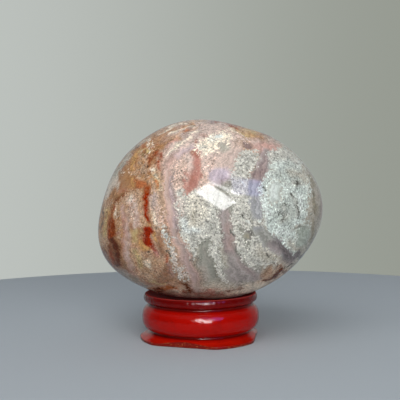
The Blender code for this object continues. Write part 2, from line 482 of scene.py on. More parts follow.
# %% Middle bands
MIDDLE_BANDS = (
    (grow, "blush_quartz", 1.0, 1,
     ((173, 162), (184, 158), (188, 172), (188, 192), (182, 206), (175, 190)),
     ((198, 156), (210, 152), (211, 170), (206, 184), (200, 186)),
     ((161, 214, 1.6), (162, 226, 1.6)), ((176, 206, 2.4), (178, 216, 2.4))),
    (grow, "quartz", 1.0, 1,
     ((178, 196), (198, 190), (214, 206), (221, 222), (222, 246), (212, 240), (206, 238), (198, 242),
      (192, 262), (186, 244), (180, 222)),
     ((213, 246, 4), (216, 257, 4), (220, 268, 3.8), (225, 279, 3)),
     ((164, 230, 1.4), (168, 240, 2.6), (171, 250, 3), (175, 260, 2.8), (180, 271, 2.6), (185, 280, 2))),
    (dye, "shell", 1.2, 0.5, ((181, 200, 3), (182, 214, 2.4))),
    (dye, "cream", 1.4, 0.35, ((186, 198), (198, 194), (206, 206), (204, 222), (190, 226))),
    (dye, "snow", 0.7, 0.8, ((186, 226, 2), (190, 233, 2.4)), ((194, 230, 2.6), (199, 231, 2)),
     ((165, 232, 1), (168, 240, 1.2)), ((184, 218, 1.6), (187, 223, 1.6))),
    (dye, "shell", 1.0, 0.55, ((173, 250, 2.6), (178, 263, 2.6), (184, 276, 2.4))),
    (band, "rose", 0.7, 1, ((192, 148, 2), (184, 152, 3), (176, 157, 3.6), (170, 163, 3.8), (168, 172, 4),
                            (167, 186, 4.2), (167, 199, 4.4), (169, 210, 4.4), (172, 221, 4.6),
                            (176.5, 234, 4.6), (181, 246, 4.6), (185, 257, 4.8), (189, 268, 5),
                            (193, 278, 5), (198, 288, 4))),
    (wash, "lilac", 1.0, 0.7, ((192, 147, 2), (184, 151, 2.4), (177, 157, 2))),
    (wash, "shell", 0.5, 0.7, ((166.6, 168, 0.8), (166.6, 184, 1.2), (167, 200, 1.4), (170, 214, 1.2))),
    (wash, "coral", 0.4, 0.5, ((169.6, 170, 0.6), (169.6, 190, 0.8), (170.4, 204, 0.8))),
    (wash, "mauve", 0.6, 1, ((173, 166, 1.1), (173.2, 184, 1.4), (174, 204, 1.9), (177, 218, 2.2),
                             (180, 230, 1.6))),
    (wash, "lilac", 0.6, 0.6, ((170.6, 176, 0.6), (170.8, 196, 1), (172, 210, 1.2), (176, 226, 1.2))),
    (wash, "plum", 0.4, 0.45, ((165, 206, 0.4), (168.4, 218, 0.8), (172, 228, 0.9), (176, 238, 0.6))),
    (wash, "salmon", 0.8, 0.4, ((163.6, 214, 1), (166, 224, 1.6), (169, 232, 1))),
    (wash, "pearl", 0.8, 0.6, ((175, 228, 1.6), (180, 240, 2), (184, 252, 2))),
    (wash, "mauve", 1.5, 0.75, ((183, 256, 3), (188, 268, 4), (193, 280, 4.4), (198, 288, 5))),
    (wash, "fawn", 1.0, 0.4, ((195, 262, 2), (199, 272, 2.4), (202, 284, 3))),
    (wash, "plum", 0.7, 0.6, ((167, 262, 2), (170, 268, 2.4), (174, 276, 2))),
    (band, "beige", 0.7, 1, ((162, 176, 1.4), (161.4, 192, 1.9), (162, 206, 1.9), (164, 216, 1.2))),
    (band, "salmon", 1.0, 1, ((197, 152, 3.6), (198.4, 160, 4.8), (197, 170, 5.2), (193, 180, 5.4),
                              (189, 188, 4.4), (187, 193, 2.6))),
    (wash, "rust", 0.8, 0.45, ((192, 153.4, 1), (197, 155.4, 1.6)), ((191, 178, 0.8), (189, 184, 0.8))),
    (band, "mauve", 1.0, 1, ((216, 213), (228, 210), (231, 230), (234, 246), (238, 254), (230, 258),
                             (223, 248), (221, 232))),
    (wash, "pearl", 1.2, 0.9, ((221, 213, 4), (224, 221, 4))),
    (wash, "rose", 1.0, 0.4, ((226, 222, 1.2), (229, 234, 1.4), (231, 246, 1.2))),
    (wash, "plum", 0.4, 0.6, ((230, 214, 0.4), (231.6, 228, 0.7), (233.6, 238, 0.6), (235.6, 247, 0.5))),
    (band, "pearl", 1.2, 1, ((228, 254), (240, 256), (248, 267), (262, 275), (250, 283), (231, 281),
                             (226, 268))),
    (wash, "mauve", 1.2, 0.7, ((240, 260, 3), (247, 270, 3))),
    (wash, "plum", 1.0, 0.5, ((246, 268, 1.4), (254, 276, 1.8))),
    (wash, "haze", 0.9, 1, ((222, 250, 2), (225, 258, 2.4), (227, 266, 2))),
    (band, "moss", 1.0, 1, ((200, 243), (208, 242), (211, 256), (213, 268), (219, 280), (208, 281),
                            (201, 264))),
    (wash, "smoke", 0.8, 0.6, ((205, 248, 2), (207, 260, 2.4))),
    (wash, "olive", 0.6, 0.45, ((213.6, 261, 0.6), (215.4, 270, 1), (218.6, 279, 0.9))),
    (wash, "haze", 1.0, 1, ((195, 244, 2.2), (197, 255, 2)), ((221, 242, 1.2), (222, 250, 1.4))),
    (wash, "shell", 1.2, 0.45, ((202, 266, 2), (206, 278, 2.6))),
    # painted bounce light: this cream wash lightens the underside, for light from the floor
    (wash, "cream", 1.6, 0.35, ((196, 288, 3), (208, 286, 4), (222, 286, 4), (232, 286, 2))),
)

paint("middle", MIDDLE_BANDS)

# %% [markdown]
# ## The crown
# Near the top the bands bend over and run with the outline. Here they are creamy, with peach and ochre along
# the ridge. The bands are thin, so most of them are strokes only a millimetre wide, laid side by side.

# %% Crown
CROWN = (
    (grow, "cream", 1.0, 1,
     ((198, 142), (208, 134), (224, 133), (234, 139), (224, 144), (214, 150), (204, 153), (194, 152)),
     ((232, 131, 1), (240, 134, 1.4), (246, 138, 1.2))),
    (grow, "shell", 1.0, 1, ((208, 157), (218, 156), (219, 163), (216, 167), (209, 166)),
     ((236, 137, 2.4), (244, 140, 2))),
    (grow, "quartz", 1.0, 1,
     ((240, 153), (256, 150), (259, 158), (255, 172), (246, 177), (232, 178), (233, 166))),
    (dye, "snow", 1.0, 0.4, ((210, 137, 2.4), (220, 137, 2.4)), ((198, 149, 1.6), (203, 147, 2))),
    (dye, "fawn", 1.0, 0.35, ((210, 161, 2), (217, 160, 2), (213, 168, 2))),
    (wash, "fawn", 0.7, 0.6, ((140, 141, 1.6), (152, 134, 1.6), (166, 127, 1.4), (182, 121.6, 1.2))),
    (wash, "beige", 0.6, 1, ((160, 132, 1.6), (175, 124, 1.8), (192, 120.5, 1.6), (206, 120, 1.2))),
    (wash, "cream", 0.3, 1, ((158, 135, 0.4), (166, 130, 0.7), (176, 124.4, 0.8), (186, 121.5, 0.4))),
    (wash, "tan", 0.4, 1, ((158, 138, 0.9), (166, 132.6, 0.9), (174, 128, 0.7))),
    (wash, "tan", 0.5, 1, ((158, 141, 1), (170, 133, 1.2), (180, 127.5, 1.3), (192, 123.4, 1.8))),
    (wash, "cream", 0.25, 1, ((167, 136, 0.5), (173, 132.4, 0.9), (180, 129, 0.9), (187, 126.4, 0.9),
                              (192, 125.6, 0.5))),
    (wash, "beige", 0.5, 1, ((168, 139, 1), (178, 134.4, 1.4), (190, 129.4, 1.2), (198, 126, 1))),
    (wash, "fawn", 0.6, 1, ((153, 144.6, 1), (158, 142.4, 1.4), (166, 140, 0.7))),
    (wash, "tan", 0.8, 1, ((153, 150, 3), (160, 146, 3), (168, 142, 2.2), (180, 137.6, 1.2))),
    (wash, "salmon", 0.5, 0.8, ((165, 149, 0.8), (170, 144.6, 1), (178, 140.4, 0.8))),
    (wash, "cream", 0.3, 1, ((168, 156, 0.5), (173, 149.6, 0.9), (180, 143.4, 1), (190, 137.4, 1)),
     ((188, 134.4, 0.8), (196, 131, 1), (206, 127.6, 1.2))),
    (wash, "shell", 0.7, 1, ((200, 128.6, 2), (210, 127.6, 2.8), (220, 127.6, 2.8), (228, 130.6, 1.6))),
    (wash, "rose", 0.6, 1, ((200, 134.6, 1.4), (206, 134, 1.8))),
    (wash, "rose", 0.7, 0.6, ((222, 131, 1.4), (228, 133, 1.4))),
    (wash, "plum", 0.4, 0.8, ((203, 121.4, 0.9), (211, 121.8, 1.2), (219, 122, 0.6))),
    (wash, "straw", 0.8, 0.6, ((234, 129, 1.6), (243, 131.6, 2.4), (252, 134.6, 2))),
    (wash, "ochre", 0.6, 0.6, ((238, 129.6, 1.4), (246, 132.4, 2), (256, 135, 1.6), (264, 137.6, 0.8))),
    (wash, "cream", 0.8, 0.25, ((237, 130.4, 1.6), (247, 132.4, 2.2))),
    (wash, "cream", 1.0, 0.35, ((190, 121, 1.6), (200, 120.6, 1.6), (208, 120.6, 1.2))),
    (wash, "cream", 0.3, 0.8, ((230, 128.4, 0.7), (236, 131, 0.8), (240, 133.4, 0.5))),
    (wash, "straw", 0.4, 1, ((241, 132.4, 0.8), (248, 134.6, 0.8)), ((247, 130.4, 0.5), (256, 132.8, 0.6))),
    (band, "shell", 1.0, 1, ((222, 146), (240, 147), (238, 157), (233, 168), (220, 171), (219, 156))),
    (wash, "mauve", 1.2, 0.45, ((237, 152, 2), (232, 166, 2))),
    (band, "coral", 1.0, 1, ((250, 141), (264, 140), (279, 146), (277, 152), (264, 155), (252, 150))),
    (wash, "shell", 0.9, 1, ((250, 141, 2), (258, 141, 2))),
    (wash, "salmon", 1.0, 0.25, ((263, 144.6, 1.6), (270, 147, 2))),
    (wash, "plum", 0.8, 1, ((243, 144, 1.6), (248, 147, 2))),
    (band, "haze", 1.0, 1, ((218, 144), (226, 142), (228, 149), (220, 150))),
    # painted reflection: this lilac patch lies where a pale window shows in the polish, and lilac_panel
    # mirrors there too
    (band, "lilac", 0.8, 1, ((212, 170), (228, 169), (229, 178), (220, 184), (212, 180))),
    (wash, "mauve", 1.0, 0.4, ((213, 172, 4), (219, 177, 4))),
    (wash, "plum", 0.7, 0.7, ((222, 181, 1.4), (226, 179, 1.6))),
)

paint("crown", CROWN)

# %% [markdown]
# ## The lilac band and the orb
# An orb is where crystals grew out from one seed in every direction. This one fills the right end: pale
# greenish quartz with a calm patch, a grey speckled ring, and dark gaps where the crystals didn't meet. A
# lilac grey band hugs its left side.

# %% Lilac band and orb
ORB = (
    (grow, "mint", 1.0, 1,
     ((269, 155), (277, 151), (287, 150), (295, 155), (303, 163), (308, 178), (309, 200), (308, 222),
      (304, 238), (297, 247), (290, 252), (283, 244), (274, 237), (266, 228), (262, 216), (262, 206),
      (258, 196), (259, 186), (265, 178), (268, 168))),
    (grow, "quartz", 1.0, 1,
     ((232, 178), (246, 176), (249, 196), (250, 218), (252, 228), (243, 226), (234, 214)),
     ((234, 214, 3.2), (236, 228, 3.4), (240, 241, 4.2), (247, 252, 5), (255, 260, 6), (266, 263, 5),
      (274, 263, 3.4)),
     ((253, 222, 3), (260, 222, 3)),
     ((250, 238), (262, 240), (272, 250), (268, 260), (254, 254))),
    (dye, "snow", 1.0, 0.4, ((263, 190, 2), (263, 200, 2.6), (266, 212, 2.6), (266, 222, 1.6))),
    (dye, "snow", 0.8, 0.6, ((301, 198, 1.6), (301, 206, 2), (298, 214, 1.6)),
     ((299.6, 163, 1.6), (295, 166, 1.6)), ((277, 232, 2), (286, 234, 2)),
     ((293, 184, 1.4), (294, 190, 1.4))),
    (dye, "quartz", 1.5, 1, ((272, 158, 5), (286, 154, 5), (296, 160, 4))),
    (dye, "haze", 1.5, 1, ((304, 168, 3), (305, 182, 3)), ((262, 250, 6), (268, 258, 5)),
     ((290, 171, 2), (300, 175, 3)), ((290, 242, 3), (296, 248, 3))),
    (dye, "moss", 1.2, 0.45,
     ((278, 214, 2), (284, 206, 2.6), (291, 211, 2.8), (289, 220, 3), (281, 221, 2.4)),
     ((272, 170, 2), (280, 178, 2), (288, 184, 1.8))),
    (dye, "smoke", 0.8, 0.6, ((294, 182, 2.4), (299, 186, 3)),
     ((292, 196, 1.6), (296, 206, 2.2), (297, 214, 1.6)),
     ((284, 209, 1.4), (287, 216, 1.8), (283, 223, 1.4)), ((292, 229, 1.6), (300, 227, 1.8))),
    (band, "slate", 0.9, 1, ((264.6, 155, 4), (264.6, 162, 5.4), (263.4, 169, 6.6), (257.4, 178, 6.6),
                             (251.8, 189, 7.2), (254, 198, 6.6), (256, 206, 5.8), (257, 215, 4.8))),
    (band, "mauve", 0.9, 1, ((249, 174), (254, 169), (261, 165), (268, 165), (266, 177), (256, 181))),
    (wash, "mauve", 1.2, 1, ((265, 155, 4), (264.4, 166, 5), (260, 175, 4.4))),
    (wash, "plum", 1.0, 0.7, ((264, 171, 2.4), (257, 175, 2.4), (250, 175, 1))),
    (wash, "plum", 0.8, 0.5, ((261, 181, 1), (259.6, 188, 0.6))),
    (band, "slate", 1.0, 1, ((258, 229, 4.4), (265, 237, 5.4), (276, 246, 6.8), (288, 255, 5.4))),
    (wash, "moss", 1.2, 0.75, ((262, 234, 5), (270, 241, 5))),
    (wash, "mauve", 1.2, 0.7, ((272, 246, 3), (278, 252, 4))),
    (wash, "dusk", 1.0, 1, ((276, 243, 2), (284, 250, 4.4), (290, 257, 4.4), (298, 255, 3.4))),
    (wash, "plum", 1.0, 0.6, ((284, 262, 1.6), (292, 262, 2))),
    (band, "moss", 0.9, 1, ((241, 231), (251, 229), (253, 240), (244, 241))),
    (wash, "straw", 0.8, 0.3, ((244, 234, 1.6), (248, 237, 1.6))),
    (wash, "dusk", 0.6, 0.8, ((240.6, 222.6, 0.6), (245, 229, 1.1), (250.6, 232.6, 1.2), (251.6, 238, 1.2))),
    (band, "mint", 0.9, 1, ((270, 184), (278, 182), (281.6, 190), (281, 200), (272, 201), (268, 193))),
    (wash, "snow", 1.0, 0.7, ((274, 188, 2.4), (275, 195, 3))),
    (band, "jade", 1.0, 1, ((300, 226), (308, 224), (309, 240), (302, 249), (296, 243), (297, 232))),
    (wash, "haze", 1.0, 0.6, ((310, 214, 2), (309, 226, 2))),
    (wash, "plum", 1.0, 0.7, ((321, 194, 1.6), (322, 206, 1.8), (320, 218, 1.4))),
    (wash, "haze", 0.6, 1, ((309, 186, 0.9), (311, 200, 1.2), (311, 212, 1)),
     ((317, 190, 0.8), (318, 204, 1))),
    (wash, "olive", 0.6, 0.65, ((313.4, 192, 0.8), (314.6, 204, 1.3), (315, 214, 0.9)),
     ((312.6, 220, 0.8), (313.4, 232, 1.2), (311, 241, 0.8)), ((310, 176, 0.8), (313, 187, 0.9))),
    (wash, "fawn", 1.0, 0.7, ((262, 275, 2), (270, 272, 2))),
)

paint("orb", ORB)

# %% [markdown]
# ## Iron stains
# Iron came in along cracks, so its veins are narrow, deep in colour and ragged. Around them it faded out to
# orange and ochre. We lay the pale stains first and the deep ones over them.

# %% Iron stains
IRON_STAINS = (
    (soak, "ochre", 0.35, 1, ((140, 240), (146, 238), (151, 246), (150, 250), (142, 249)),
     ((151, 230, 1.2), (153, 236, 1.8), (155, 241, 1)), ((146, 222, 1.4), (148, 224, 1.6)),
     ((137, 155, 2.6), (134, 161, 2.4), (133, 167, 1.2)), ((131, 178, 1.2), (131, 187, 1.4)),
     ((110, 214, 1), (108, 226, 1)), ((156, 181, 1.6), (157, 186, 1.4))),
    (soak, "orange", 0.35, 1, ((133, 181), (139, 180), (146, 183), (147, 187), (140, 188), (134, 185)),
     ((184, 131, 1.8), (186, 131, 1.6)), ((155.4, 182.6, 0.9), (157.4, 185.6, 0.9)),
     ((156, 290, 1.4), (166, 289, 2), (176, 289.6, 1.6)), ((142, 146, 0.8), (145, 149.6, 0.8))),
    (soak, "salmon", 0.35, 1, ((184.4, 180, 1.2), (185, 187, 1.4)), ((186, 173, 1), (188, 177, 1)),
     ((153, 250, 1.4), (156, 255, 1.6)), ((199, 178, 0.8), (202, 174, 0.8)),
     ((115.6, 236, 1), (118, 232, 1)), ((196, 292.4, 1), (212, 293, 1.4), (224, 293, 1))),
    (soak, "orange", 0.35, 1, ((148, 187, 1.4), (147.6, 198, 2), (147.6, 208, 2))),
    (soak, "rust", 0.35, 1, ((148.4, 189, 0.9), (148, 198, 1.5), (148, 206, 1.7), (147.4, 211, 1.8)),
     ((149, 166.4, 1.5), (151, 160, 1), (153.6, 154.6, 1.1), (156.6, 150.6, 0.7)),
     ((161, 166.6, 1.5), (160.8, 160, 1), (161.6, 153, 0.9)),
     ((114, 206, 0.7), (112.2, 220, 1.2), (112.2, 232, 1.4), (113.6, 239, 1)),
     ((165, 255, 1), (166.4, 262, 1.4)), ((196, 140.6, 1), (197, 141.6, 0.9)),
     ((193, 152.6, 0.5), (195, 153, 0.6)),
     ((216, 122.8, 0.5), (226, 124, 0.7), (234, 125.8, 0.9), (240, 128.4, 0.8)),
     ((261, 133.6, 0.5), (266, 135.8, 0.8), (270, 138, 0.5)), ((182, 291.4, 1), (190, 290.4, 1.2))),
    (soak, "red", 0.35, 1,
     ((141.4, 229), (146, 226.4), (150.6, 226.6), (151, 231), (149.6, 236), (152.6, 243), (154.6, 250),
      (151, 248.6), (147, 243), (143.4, 236.6)),
     ((147.8, 196, 0.7), (148, 206, 0.9), (146.8, 212, 1.7), (147, 217, 1.5), (147.4, 221, 0.8))),
    (soak, "rust", 0.35, 1, ((111, 222, 1.6), (111.4, 234, 2.2), (113.4, 241, 2)),
     ((109, 250, 1.4), (112, 258, 1.8), (116, 266, 1.4))),
    (soak, "bark", 0.35, 1, ((113.6, 241, 2.2), (116.4, 249, 2.8), (117.4, 257, 2.6), (119, 265, 1.8)),
     ((266, 280, 1.4), (275, 276.6, 2.4), (283, 270, 2.2)), ((228, 289.6, 0.9), (240, 288.6, 0.8)),
     ((148.4, 164.6, 0.8), (149, 167, 0.7)), ((181, 284, 1.2), (187, 286.6, 1.4), (194, 289, 1)),
     ((154, 288.6, 0.8), (162, 290.6, 0.8))),
)

paint("iron", IRON_STAINS)

# %% [markdown]
# ## Dark gaps and painted glints
# Small open gaps between crystals look nearly black. A few crystal faces are painted white as glints, and one
# thin streak is a painted reflection of a far lamp: painted highlights. Both are tiny, but without them the
# grainy parts look like cloth.

# %% Gaps and glints
DARK_GAPS = (
    ((297.6, 182, 0.8), (299, 187, 1)), ((291.4, 193, 0.8), (293, 197, 0.9)),
    ((298, 200, 0.6), (295.4, 205, 0.9), (297.6, 211, 0.9), (299, 217, 0.4)),
    ((293.6, 229, 0.9), (297, 227.4, 1.2), (301, 226.6, 0.6)),
    ((264.6, 187.6, 0.9), (266, 190, 0.6)), ((282, 213, 0.5), (286, 217, 0.6), (284, 222, 0.6)),
    ((285, 205, 0.6), (288, 208, 0.4)), ((281, 212, 0.4), (280, 216, 0.4)),
    ((241, 211, 0.6), (242.4, 216, 0.9)), ((230.4, 229, 0.4), (232, 235, 0.5)),
    ((235, 246, 0.3), (239, 252, 0.3)), ((148.4, 165, 0.5), (148.8, 167, 0.6)),
    ((166, 251, 1), (168.4, 255, 0.8)), ((170.6, 260.6, 0.9), (172, 262.4, 0.6)),
    ((208, 240.6, 0.4), (205, 240.8, 0.4)), ((200, 220.6, 0.4), (197, 221.4, 0.4)),
    ((145, 252, 0.6), (147, 252.4, 0.4)), ((267, 252, 0.5), (268, 257, 0.5)),
    ((271, 263, 0.7), (274, 266.6, 0.8)), ((285, 267, 0.8), (291, 263.6, 0.8)),
    # the second mark on the next line is no gap between crystals but a thin dark line along the stone's left
    # outline
    ((190, 255, 0.4), (191, 261, 0.6)), ((103.6, 199, 0.4), (101.6, 214, 0.5), (100.8, 230, 0.5)),
)
SHADOWED_CRYSTALS = (
    (dye, "olive", 0.6, 0.55, ((192.4, 211, 0.6), (194, 218, 1), (195.6, 226, 0.8))),
)
# painted highlights: bright glints on crystal faces
PAINTED_GLINTS = (
    ((244, 220, 0.7), (248.4, 221, 0.8)), ((257.4, 220, 1), (259, 220.4, 0.8)),
    # painted reflection of a far lamp, a thin bright streak
    ((169, 237.4, 0.2), (175, 237.8, 0.5), (181, 238.4, 0.3)), ((241, 183.6, 0.6), (243, 185, 0.6)),
    ((215, 137, 1), (221, 138, 0.8)),
)

spread("dark_mm", [outside(mark) for mark in DARK_GAPS])
paint("shadow", SHADOWED_CRYSTALS)
spread("sparkle_mm", [outside(mark) for mark in PAINTED_GLINTS])
print(len(DARK_GAPS), "gaps and", len(PAINTED_GLINTS), "chips")

# %% [markdown]
# ## Fine layers
# Chalcedony grows in layers thinner than a hair, and they follow the bands. Between the middle lines of the
# named bands we count evenly from left to right, and the material later turns that count into fine lines.

# %% Layer count
# Each row: the middle line of one band, as (across, down) from the top to the bottom
BAND_LINES = (
    ((101, 195), (100, 240), (110, 270)),
    ((128, 157), (114, 205), (112, 236), (119, 266)),
    ((152, 140), (126, 210), (126, 248), (134, 280)),
    ((176, 128), (156, 155), (148, 190), (147, 220), (155, 256), (166, 290)),
    ((196, 130), (186, 150), (168, 170), (167, 199), (181, 246), (198, 288)),
    ((214, 132), (196, 160), (184, 200), (189, 246), (204, 280)),
    ((230, 136), (214, 165), (206, 210), (212, 245), (226, 282)),
    ((242, 140), (232, 170), (222, 212), (228, 240), (250, 276)),
    ((256, 140), (246, 180), (240, 212), (246, 245), (270, 268)),
    ((270, 145), (263, 168), (254, 200), (262, 232), (288, 255)),
    ((290, 148), (278, 170), (270, 200), (276, 228), (300, 250)),
    ((304, 160), (294, 180), (290, 205), (296, 230), (308, 245)),
    ((318, 180), (316, 200), (316, 220), (314, 240)),
)
ORDER_PIXELS = 0.01  # keeps lines that cross in their order
THINNEST_PIXELS = 0.5


def layer_count():
    """Count bands from left to right at each drawing place, with parts of a band between their middles."""
    across = []
    for line in BAND_LINES:
        x, y = np.array(line, float).T
        across.append(np.interp(drawing[:, 1], y, x))
    apart = ORDER_PIXELS * np.arange(len(BAND_LINES))[:, None]
    across = np.maximum.accumulate(np.array(across) + apart, axis=0)
    counted = np.zeros(count)
    for left, right in zip(across, across[1:]):
        counted += np.clip((drawing[:, 0] - left) / np.maximum(right - left, THINNEST_PIXELS), 0, 1)
    return counted


fields["layers"] = layer_count()
print("layers run from", fields["layers"].min().round(2), "to", fields["layers"].max().round(2))

# %% [markdown]
# ## Keep the paint on the skin
# The material can't see our canvases, but it can read attributes of the mesh, which travel with every point.
# An image could hold the paint too, but it would need a flat layout of a stone that has no seams.

# %% Keep the paint


def keep_on_skin(name, values):
    """Store one number or one colour for each point of the skin, under a name that the material can read."""
    if values.ndim == 2:
        values = np.hstack([values, np.ones((count, 1))])
        attribute = stone.data.attributes.new(name, "FLOAT_COLOR", "POINT")
        attribute.data.foreach_set("color", values.astype(np.float32).ravel())
    else:
        attribute = stone.data.attributes.new(name, "FLOAT", "POINT")
        attribute.data.foreach_set("value", values.astype(np.float32))


for name, values in {**coats, **fields}.items():
    keep_on_skin(name, values)
print("kept", ", ".join([*coats, *fields]))

# %% [markdown]
# ## Small helpers for node trees
# Shader trees and geometry trees are built in the same way: add a node, set it, link it. A few helpers keep
# that short, and they work for both kinds.

# %% Node helpers


def feed(tree, slot, value):
    """Link a socket into a node's input, or set a plain value there; a colour of three numbers is opaque."""
    if isinstance(value, bpy.types.NodeSocket):
        tree.links.new(value, slot)
    elif isinstance(value, np.ndarray):
        slot.default_value = (*value, 1.0)
    else:
        slot.default_value = value


def feed_all(tree, node, **inputs):
    """Feed a node's inputs by name, with _ for a space."""
    for name, value in inputs.items():
        feed(tree, node.inputs[name.replace("_", " ")], value)


def add(tree, kind, settings=None, **inputs):
    """Add a node, set its options, and feed its inputs."""
    node = tree.nodes.new(kind)
    for name, value in (settings or {}).items():
        setattr(node, name, value)
    feed_all(tree, node, **inputs)
    return node


def calc(tree, operation, *values):
    """Add a Math node and give its result."""
    node = add(tree, "ShaderNodeMath", {"operation": operation})
    for slot, value in zip(node.inputs, values):
        feed(tree, slot, value)
    return node.outputs[0]


def rise(tree, value, low, high):
    """Rise smoothly from 0 to 1 as the value goes from low to high."""
    node = add(tree, "ShaderNodeMapRange", {"interpolation_type": "SMOOTHSTEP"}, Value=value,
               From_Min=low, From_Max=high)
    return node.outputs["Result"]


def split(tree, vector):
    """Split a place or a direction into X, Y and Z."""
    return add(tree, "ShaderNodeSeparateXYZ", Vector=vector).outputs


def blend_colours(tree, share, under, over, how="MIX"):
    """Lay one colour over another."""
    node = add(tree, "ShaderNodeMix", {"data_type": "RGBA", "blend_type": how})
    for number, value in ((0, share), (6, under), (7, over)):
        feed(tree, node.inputs[number], value)
    return node.outputs[2]


def noise_at(tree, place, swells, detail, roughness=0.5):
    """Read smooth noise that has so many swells in each unit of the place."""
    node = add(tree, "ShaderNodeTexNoise", Vector=place, Scale=swells, Detail=detail, Roughness=roughness)
    return node.outputs[0]


def read(tree, name, output="Fac"):
    """Read what was stored on a mesh."""
    return add(tree, "ShaderNodeAttribute", {"attribute_name": name}).outputs[output]


def new_material(name):
    """Start a material, and give it with its node tree and its shader."""
    material = bpy.data.materials.new(name)
    material.use_nodes = True
    return material, material.node_tree, material.node_tree.nodes["Principled BSDF"]


def new_group(name, inputs, output, kind):
    """Start a shader node group with named inputs and one named output."""
    group = bpy.data.node_groups.new(name, "ShaderNodeTree")
    for label, input_kind in inputs.items():
        group.interface.new_socket(label, in_out="INPUT", socket_type=input_kind)
    group.interface.new_socket(output, in_out="OUTPUT", socket_type=kind)
    return group, group.nodes.new("NodeGroupInput").outputs, group.nodes.new("NodeGroupOutput").inputs[output]


def place_group(tree, group, **inputs):
    """Use a node group inside a material, and give its output."""
    return add(tree, "ShaderNodeGroup", {"node_tree": group}, **inputs).outputs[0]


# %% [markdown]
# ## Two shared effects
# Ragged edge takes a painted distance and breaks its edge into grains, so a coat ends in loose crystals.
# The crystals, the stains, the gaps and the painted glints all use it. Millimetres turns Object coordinates,
# which are in metres, into millimetres, so that every pattern size in a material is a real size. The lacquer
# uses that one too.

# %% Shared effects
COARSE_SCALE = 0.35  # swells of the coarse noise for each grain
COARSE_PULL = 2.4    # how much more the coarse noise moves the edge than a single grain does
CLOUD_DETAIL = 3.0
CLOUD_ROUGHNESS = 0.65


def make_millimetres():
    """Make the group that gives a place on the object in millimetres."""
    group, given, result = new_group("millimetres", {}, "Place", "NodeSocketVector")
    place = add(group, "ShaderNodeTexCoord").outputs["Object"]
    scaled = add(group, "ShaderNodeVectorMath", {"operation": "SCALE"}, Vector=place, Scale=1 / MM)
    feed(group, result, scaled.outputs[0])
    return group


def make_ragged_edge():
    """Make the group that turns a distance into a cover with a grainy edge."""
    group, given, result = new_group(
        "ragged_edge",
        {"Place": "NodeSocketVector", "Distance": "NodeSocketFloat", "Grain Size": "NodeSocketFloat",
         "Stray": "NodeSocketFloat", "Softness": "NodeSocketFloat"}, "Cover", "NodeSocketFloat")
    cell = add(group, "ShaderNodeTexVoronoi", Vector=given["Place"],
               Scale=calc(group, "DIVIDE", 1.0, given["Grain Size"]))
    single = add(group, "ShaderNodeSeparateColor", Color=cell.outputs["Color"]).outputs[2]
    coarse = noise_at(group, given["Place"], calc(group, "DIVIDE", COARSE_SCALE, given["Grain Size"]),
                      CLOUD_DETAIL, CLOUD_ROUGHNESS)
    both = calc(group, "MULTIPLY_ADD", calc(group, "SUBTRACT", coarse, 0.5), COARSE_PULL,
                calc(group, "SUBTRACT", single, 0.5))
    level = calc(group, "SUBTRACT", calc(group, "MULTIPLY", both, given["Stray"]), given["Distance"])
    cover = rise(group, level, calc(group, "MULTIPLY", given["Softness"], -1.0), given["Softness"])
    feed(group, result, cover)
    return group


millimetres = make_millimetres()
ragged_edge = make_ragged_edge()
print("groups:", millimetres.name, "and", ragged_edge.name)

# %% [markdown]
# ## Polished stone
# The material reads the painted coats from the skin and adds what is too fine to paint: grains in the
# crystals, dark gaps between them, faint layers in the smooth bands, and ragged edges. The polish is one
# even gloss over everything, because the wheel cut every mineral to the same level. A picture of a stone
# would be quicker to make, but it would look smeared from the sides.

# %% Stone settings
STONE_ROUGHNESS = 0.07
STONE_IOR = 1.28
STONE_DEPTH_GLOW = 0.06
GLOW_REACH_MM = (1.6, 1.1, 0.8)

# Sizes of what is too fine to paint
CRYSTAL_MM = 0.36
SUGAR_MM = 0.24
SPECK_MM = 0.55
CLOUD_MM = 2.2
HUE_MM = 1.4 * CLOUD_MM
DUST_MM = 1.3
DUST_DETAIL = 5.0

# Fine layers: lines for each band, their detail and roughness, and how far the clouds bend them
LINES_PER_BAND = 4.0
LINE_DETAIL = 3.0
LINE_ROUGHNESS = 0.6
LINE_BEND = 0.8

# How much each chance number lightens or darkens the ground, the crystals, and single crystals
GROUND_TONE = 0.5
GROUND_WEIGHTS = {"speck": 1.3, "sugar": 0.34, "patchy": 0.7}
CRYSTAL_TONE = 0.93
CRYSTAL_WEIGHTS = {"fringe": 0.17, "crystal": 0.55, "sugar": 0.5, "speck": 1.0, "patchy": 1.0}
SINGLE_WEIGHTS = {"gap": -0.4, "flash": 0.4}
GAP_SHARE = 0.05     # the share of crystals that are open gaps
FLASH_LEVEL = 0.93   # crystals above this level flash
FRINGE_MM = (-1.7, -0.3)

# A calm band is less mottled: across its edge, its least mottle, and what rougher ground adds
CALM_EDGE_MM = (-0.8, 0.6)
CALM_MOTTLE = 0.5
ROUGH_MOTTLE = 0.7

# Iron dust: between which noise levels it shows and turns from amber to rust, and its strength
DUST_LEVELS = (-0.06, 0.1)
HUE_LEVELS = (-0.08, 0.1)
DUST_STRENGTH = 0.7

# Each coat's edge: grain size, how far its grains stray, and softness
EDGES_MM = {"druse_mm": (0.4, 1.5, 0.25), "stain_mm": (0.4, 0.45, 0.55), "dark_mm": (0.4, 0.4, 0.25),
            "sparkle_mm": (0.4, 0.4, 0.25)}
DOT_STRENGTH = 0.85
print("crystals of", CRYSTAL_MM, "mm and sugar of", SUGAR_MM, "mm")

# %% Stone material


def cloud(tree, place, size_mm, detail=CLOUD_DETAIL):
    """Give smooth noise of a real size, even about nothing."""
    return calc(tree, "SUBTRACT", noise_at(tree, place, 1 / size_mm, detail, CLOUD_ROUGHNESS), 0.5)


